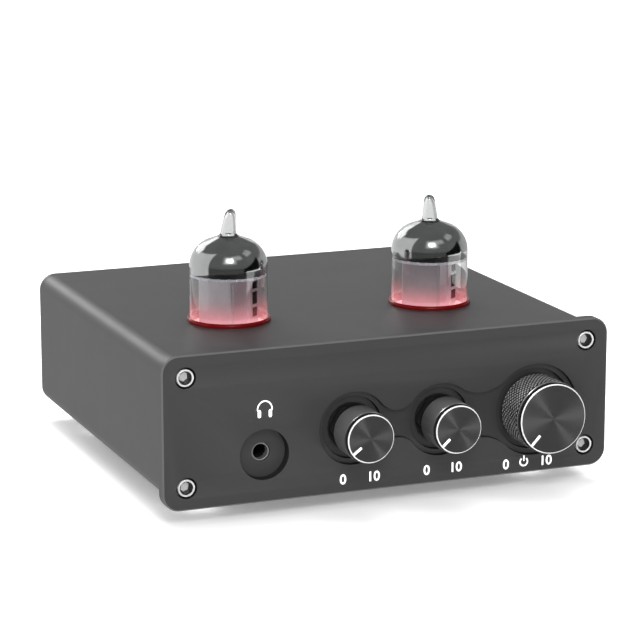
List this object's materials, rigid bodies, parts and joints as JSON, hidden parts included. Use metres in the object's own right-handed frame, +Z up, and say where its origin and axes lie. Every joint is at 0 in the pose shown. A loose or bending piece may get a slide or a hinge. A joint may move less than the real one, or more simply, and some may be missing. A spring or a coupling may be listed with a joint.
{
  "type": "phono preamp",
  "caption": "Small dark metal phono preamp with plug-in vacuum tubes on top, rotary tone and volume knobs, a front headphone socket and phono sockets behind.",
  "frame": {"origin": "on the table, under the middle of the whole object", "axes": "+X to the right as seen from the front, +Y to the back, +Z up"},
  "size_m": [0.1112, 0.1224, 0.0651],
  "materials": {
    "anodised_case": "matte dark grey anodised",
    "bright_steel": "bright",
    "clear_rubber": "pale translucent",
    "knob_metal": "turned, dark anodised",
    "black_plastic": "moulded",
    "plated_metal": "plated",
    "pot_can": "stamped",
    "contact_metal": "tinned",
    "tube_glass": "clear",
    "tube_nickel": "sheet nickel",
    "tube_mica": "mica",
    "getter_mirror": "dark mirror",
    "red_collar": "deep red, glossy",
    "ceramic": "glazed ceramic",
    "red_led": "red lens",
    "board_green": "solder mask",
    "can_black": "sleeved can",
    "film_red": "dipped",
    "insert_white": "moulded",
    "insert_red": "moulded"
  },
  "bodies": {
    "chassis": {"case_sleeve": "anodised_case", "front_panel": "anodised_case", "rear_panel": "anodised_case", "front_panel_screws": "bright_steel", "rear_panel_screws": "bright_steel", "feet": "clear_rubber", "pot_nuts": "plated_metal", "pot_washers": "plated_metal", "pot_terminals": "contact_metal", "headphone_jack": "black_plastic", "headphone_jack_ring": "plated_metal", "headphone_contacts": "contact_metal", "left_tube_collar": "red_collar", "right_tube_collar": "red_collar", "left_tube_socket": "ceramic", "right_tube_socket": "ceramic", "tube_socket_contacts": "contact_metal", "tube_leds": "red_led", "main_board": "board_green", "electrolytic_capacitors": "can_black", "film_capacitors": "film_red", "op_amps": "black_plastic", "rca_input_block": "black_plastic", "rca_output_block": "black_plastic", "rca_shells": "plated_metal", "rca_left_inserts": "insert_white", "rca_right_inserts": "insert_red", "rca_contacts": "contact_metal", "dc_jack": "black_plastic", "dc_jack_pin": "contact_metal", "ground_stud": "plated_metal", "ground_lock_nut": "plated_metal", "treble_pot": "pot_can", "bass_pot": "pot_can", "volume_pot": "pot_can"},
    "treble_control": {"treble_knob": "knob_metal", "treble_knob_hub": "black_plastic", "treble_shaft": "plated_metal"},
    "bass_control": {"bass_knob": "knob_metal", "bass_knob_hub": "black_plastic", "bass_shaft": "plated_metal"},
    "volume_control": {"volume_knob": "knob_metal", "volume_knob_hub": "black_plastic", "volume_shaft": "plated_metal"},
    "left_tube": {"left_tube_glass": "tube_glass", "left_tube_pins": "contact_metal", "left_tube_plates": "tube_nickel", "left_tube_cathode": "tube_nickel", "left_tube_grids": "tube_nickel", "left_tube_micas": "tube_mica", "left_tube_getter": "getter_mirror"},
    "right_tube": {"right_tube_glass": "tube_glass", "right_tube_pins": "contact_metal", "right_tube_plates": "tube_nickel", "right_tube_cathode": "tube_nickel", "right_tube_grids": "tube_nickel", "right_tube_micas": "tube_mica", "right_tube_getter": "getter_mirror"},
    "ground_clamp": {"ground_washer": "plated_metal"},
    "ground_nut": {"ground_thumb_nut": "plated_metal"}
  },
  "joints": [
    {"name": "treble_turn", "type": "hinge", "parent": "chassis", "child": "treble_control", "pos_m": [-0.00925, -0.055, 0.019], "axis": [0, 1, 0], "range_deg": [0, 270]},
    {"name": "bass_turn", "type": "hinge", "parent": "chassis", "child": "bass_control", "pos_m": [0.0125, -0.055, 0.019], "axis": [0, 1, 0], "range_deg": [0, 270]},
    {"name": "volume_turn", "type": "hinge", "parent": "chassis", "child": "volume_control", "pos_m": [0.0368, -0.055, 0.019], "axis": [0, 1, 0], "range_deg": [0, 270]},
    {"name": "left_tube_lift", "type": "slide", "parent": "chassis", "child": "left_tube", "axis": [0, 0, 1], "range_m": [0, 0.03]},
    {"name": "right_tube_lift", "type": "slide", "parent": "chassis", "child": "right_tube", "axis": [0, 0, 1], "range_m": [0, 0.03]},
    {"name": "ground_clamp_slide", "type": "slide", "parent": "chassis", "child": "ground_clamp", "axis": [0, 1, 0], "range_m": [0, 0.0035]},
    {"name": "ground_nut_turn", "type": "hinge", "parent": "ground_clamp", "child": "ground_nut", "pos_m": [0.0095, 0.0555, 0.0218], "axis": [0, 1, 0], "range_deg": [0, 1800]}
  ],
  "couplings": [
    {"joint": "ground_nut_turn", "follows": "ground_clamp_slide", "rad_per_m": 8976}
  ]
}
